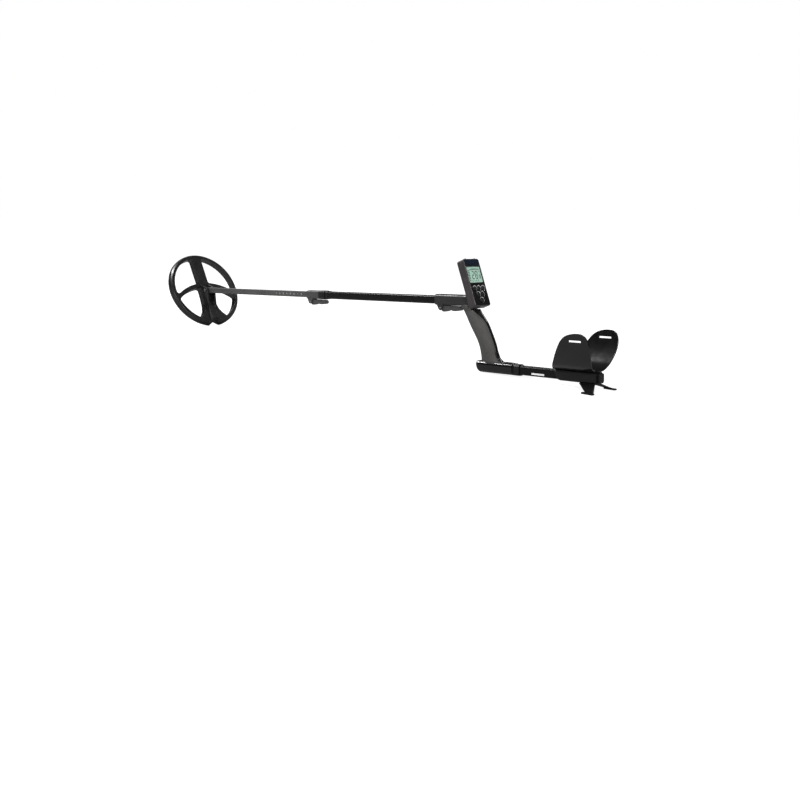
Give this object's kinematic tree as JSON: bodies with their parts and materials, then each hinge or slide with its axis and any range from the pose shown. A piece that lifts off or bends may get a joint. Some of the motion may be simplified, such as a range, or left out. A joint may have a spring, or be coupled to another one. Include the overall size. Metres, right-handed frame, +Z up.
{
  "type": "metal detector",
  "caption": "Telescopic metal detector with a tilting spoked search coil, pistol grip, forearm rest and a slide-on control unit.",
  "frame": {"origin": "on the floor, under the middle of the overall box", "axes": "+X along the stem to the rear (the arm rest), +Y to the far side, +Z up; the detector rests on its two rear feet and the heel of the coil"},
  "size_m": [1.3952, 0.2196, 0.2379],
  "materials": {
    "grey_plastic": "satin grey moulded plastic",
    "black_plastic": "fine matte black moulding",
    "gloss_black": "glossy black",
    "tube_black": "black anodised",
    "stem_grey": "dark grey composite",
    "soft_grip": "textured soft grey",
    "coil_plastic": "dark grey shell",
    "coil_cover": "black scuff cover",
    "cuff_plastic": "satin black sheet",
    "silver": "silver grey",
    "remote_case": "metallic grey",
    "glass": "clear window",
    "display": "pale green display",
    "chrome": "bright rings",
    "steel": "steel",
    "copper": "enamelled copper bundle",
    "board": "green circuit board",
    "cell": "wrapped cell",
    "white": "plain white strip",
    "key_rubber": "black keys",
    "washer_rubber": "rubber friction washer"
  },
  "bodies": {
    "handle": {"handle_sleeve": "grey_plastic", "sleeve_collar": "gloss_black", "handle_spine": "gloss_black", "handle_core": "black_plastic", "grip_cover": "soft_grip", "sleeve_bush": "black_plastic", "base_shoe": "gloss_black", "shoe_collar": "black_plastic", "arm_tube": "tube_black", "arm_tube_plug": "black_plastic", "blank_strip": "white", "shoe_screws": "steel", "handle_lever_pin": "steel"},
    "handle_lever": {"handle_cam_lever": "grey_plastic"},
    "tube": {"middle_tube": "tube_black", "front_clamp_body": "grey_plastic", "clamp_ring": "black_plastic", "front_bush": "black_plastic", "front_lever_pin": "steel", "tube_end_cap": "black_plastic", "mount_plate": "black_plastic", "mount_disc": "silver"},
    "front_lever": {"front_cam_lever": "grey_plastic"},
    "lower_stem": {"lower_stem_tube": "stem_grey", "stem_guide_plug": "black_plastic", "stem_yoke": "stem_grey"},
    "coil": {"coil_upper_shell": "coil_plastic", "coil_lower_cover": "coil_cover", "transmit_winding": "copper", "receive_winding": "copper", "coil_circuit_board": "board", "coil_battery": "cell", "coil_bolt": "grey_plastic", "coil_nut": "steel", "friction_washers": "washer_rubber", "coil_screws": "steel"},
    "remote": {"remote_front_case": "remote_case", "remote_rear_case": "remote_case", "remote_front_panel": "gloss_black", "display_window": "glass", "display_panel": "display", "key_rings": "chrome", "remote_circuit_board": "board", "remote_battery": "cell", "remote_clip": "black_plastic", "remote_screws": "steel"},
    "arm_rest": {"cuff_shell": "cuff_plastic", "cuff_channel": "black_plastic", "stand": "black_plastic", "cuff_screws": "steel"},
    "key_1": {"key_1": "key_rubber"},
    "key_2": {"key_2": "key_rubber"},
    "key_3": {"key_3": "key_rubber"},
    "key_4": {"key_4": "key_rubber"},
    "key_5": {"key_5": "key_rubber"},
    "key_6": {"key_6": "key_rubber"}
  },
  "joints": [
    {"name": "tube_slide", "type": "slide", "parent": "handle", "child": "tube", "axis": [0.9988, 0, 0.0499], "range_m": [0, 0.366]},
    {"name": "handle_lever_hinge", "type": "hinge", "parent": "handle", "child": "handle_lever", "pos_m": [0.28082, 0, 0.12704], "axis": [0, 1, 0], "range_deg": [0, 80]},
    {"name": "lower_stem_slide", "type": "slide", "parent": "tube", "child": "lower_stem", "axis": [0.9988, 0, 0.0499], "range_m": [0, 0.396]},
    {"name": "front_lever_hinge", "type": "hinge", "parent": "tube", "child": "front_lever", "pos_m": [-0.15573, 0, 0.10523], "axis": [0, 1, 0], "range_deg": [0, 80]},
    {"name": "coil_tilt", "type": "hinge", "parent": "lower_stem", "child": "coil", "pos_m": [-0.61023, 0, 0.09995], "axis": [0, 1, 0], "range_deg": [-64, 116]},
    {"name": "remote_slide", "type": "slide", "parent": "tube", "child": "remote", "axis": [-0.3885, 0, 0.9215], "range_m": [0, 0.045]},
    {"name": "cuff_slide", "type": "slide", "parent": "handle", "child": "arm_rest", "axis": [0.9988, 0, 0.0499], "range_m": [-0.024, 0.01]},
    {"name": "key_1_press", "type": "slide", "parent": "remote", "child": "key_1", "axis": [-0.9215, 0, -0.3885], "range_m": [0, 0.0006], "stiffness_N_per_m": 600, "springref_m": -0.0005},
    {"name": "key_2_press", "type": "slide", "parent": "remote", "child": "key_2", "axis": [-0.9215, 0, -0.3885], "range_m": [0, 0.0006], "stiffness_N_per_m": 600, "springref_m": -0.0005},
    {"name": "key_3_press", "type": "slide", "parent": "remote", "child": "key_3", "axis": [-0.9215, 0, -0.3885], "range_m": [0, 0.0006], "stiffness_N_per_m": 600, "springref_m": -0.0005},
    {"name": "key_4_press", "type": "slide", "parent": "remote", "child": "key_4", "axis": [-0.9215, 0, -0.3885], "range_m": [0, 0.0006], "stiffness_N_per_m": 600, "springref_m": -0.0005},
    {"name": "key_5_press", "type": "slide", "parent": "remote", "child": "key_5", "axis": [-0.9215, 0, -0.3885], "range_m": [0, 0.0006], "stiffness_N_per_m": 600, "springref_m": -0.0005},
    {"name": "key_6_press", "type": "slide", "parent": "remote", "child": "key_6", "axis": [-0.9215, 0, -0.3885], "range_m": [0, 0.0006], "stiffness_N_per_m": 600, "springref_m": -0.0005}
  ]
}
